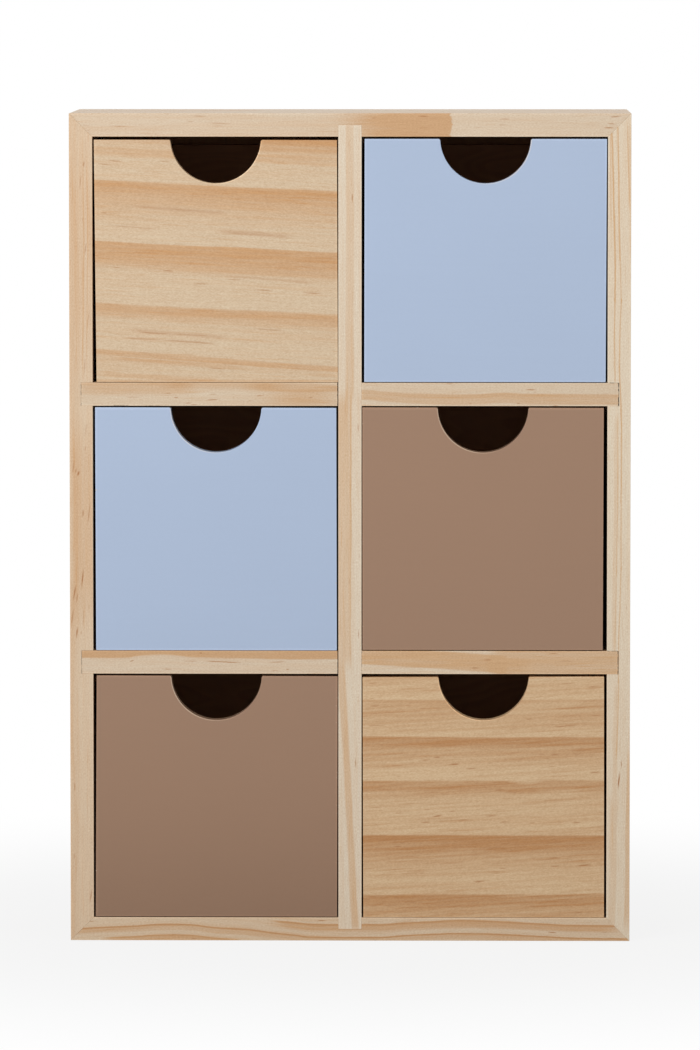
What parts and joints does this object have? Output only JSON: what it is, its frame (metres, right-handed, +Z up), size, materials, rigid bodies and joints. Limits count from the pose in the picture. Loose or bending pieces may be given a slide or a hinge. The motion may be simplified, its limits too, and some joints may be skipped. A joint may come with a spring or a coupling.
{
  "type": "desktop mini drawers",
  "caption": "Small upright wooden cabinet whose drawers slide out by half-round finger notches, for craft supplies and small parts on a desk.",
  "frame": {"origin": "middle of the cabinet's underside", "axes": "+Z up, +X to the right seen from the front, and the front faces -Y, where the drawers slide out"},
  "size_m": [0.217, 0.085, 0.321],
  "materials": {
    "pine": "clear matt pine",
    "pale_blue_paint": "satin pale blue paint on wood",
    "taupe_paint": "satin taupe paint on wood",
    "plywood": "raw reddish brown plywood",
    "beech": "raw beech dowel",
    "steel": "bright wire brads"
  },
  "bodies": {
    "cabinet": {"top_board": "pine", "bottom_board": "pine", "left_side": "pine", "right_side": "pine", "centre_divider": "pine", "upper_left_shelf": "pine", "upper_right_shelf": "pine", "lower_left_shelf": "pine", "lower_right_shelf": "pine", "back_panel": "plywood", "back_panel_brads": "steel", "corner_brads": "steel", "divider_brads": "steel", "shelf_brads": "steel", "shelf_dowels": "beech"},
    "top_left_drawer": {"top_left_drawer_front": "pine", "top_left_drawer_left_wall": "plywood", "top_left_drawer_right_wall": "plywood", "top_left_drawer_back": "plywood", "top_left_drawer_bottom": "plywood", "top_left_drawer_brads": "steel"},
    "top_right_drawer": {"top_right_drawer_front": "pale_blue_paint", "top_right_drawer_left_wall": "plywood", "top_right_drawer_right_wall": "plywood", "top_right_drawer_back": "plywood", "top_right_drawer_bottom": "plywood", "top_right_drawer_brads": "steel"},
    "middle_left_drawer": {"middle_left_drawer_front": "pale_blue_paint", "middle_left_drawer_left_wall": "plywood", "middle_left_drawer_right_wall": "plywood", "middle_left_drawer_back": "plywood", "middle_left_drawer_bottom": "plywood", "middle_left_drawer_brads": "steel"},
    "middle_right_drawer": {"middle_right_drawer_front": "taupe_paint", "middle_right_drawer_left_wall": "plywood", "middle_right_drawer_right_wall": "plywood", "middle_right_drawer_back": "plywood", "middle_right_drawer_bottom": "plywood", "middle_right_drawer_brads": "steel"},
    "bottom_left_drawer": {"bottom_left_drawer_front": "taupe_paint", "bottom_left_drawer_left_wall": "plywood", "bottom_left_drawer_right_wall": "plywood", "bottom_left_drawer_back": "plywood", "bottom_left_drawer_bottom": "plywood", "bottom_left_drawer_brads": "steel"},
    "bottom_right_drawer": {"bottom_right_drawer_front": "pine", "bottom_right_drawer_left_wall": "plywood", "bottom_right_drawer_right_wall": "plywood", "bottom_right_drawer_back": "plywood", "bottom_right_drawer_bottom": "plywood", "bottom_right_drawer_brads": "steel"}
  },
  "joints": [
    {"name": "top_left_drawer_slide", "type": "slide", "parent": "cabinet", "child": "top_left_drawer", "axis": [0, -1, 0], "range_m": [0, 0.07]},
    {"name": "top_right_drawer_slide", "type": "slide", "parent": "cabinet", "child": "top_right_drawer", "axis": [0, -1, 0], "range_m": [0, 0.07]},
    {"name": "middle_left_drawer_slide", "type": "slide", "parent": "cabinet", "child": "middle_left_drawer", "axis": [0, -1, 0], "range_m": [0, 0.07]},
    {"name": "middle_right_drawer_slide", "type": "slide", "parent": "cabinet", "child": "middle_right_drawer", "axis": [0, -1, 0], "range_m": [0, 0.07]},
    {"name": "bottom_left_drawer_slide", "type": "slide", "parent": "cabinet", "child": "bottom_left_drawer", "axis": [0, -1, 0], "range_m": [0, 0.07]},
    {"name": "bottom_right_drawer_slide", "type": "slide", "parent": "cabinet", "child": "bottom_right_drawer", "axis": [0, -1, 0], "range_m": [0, 0.07]}
  ]
}
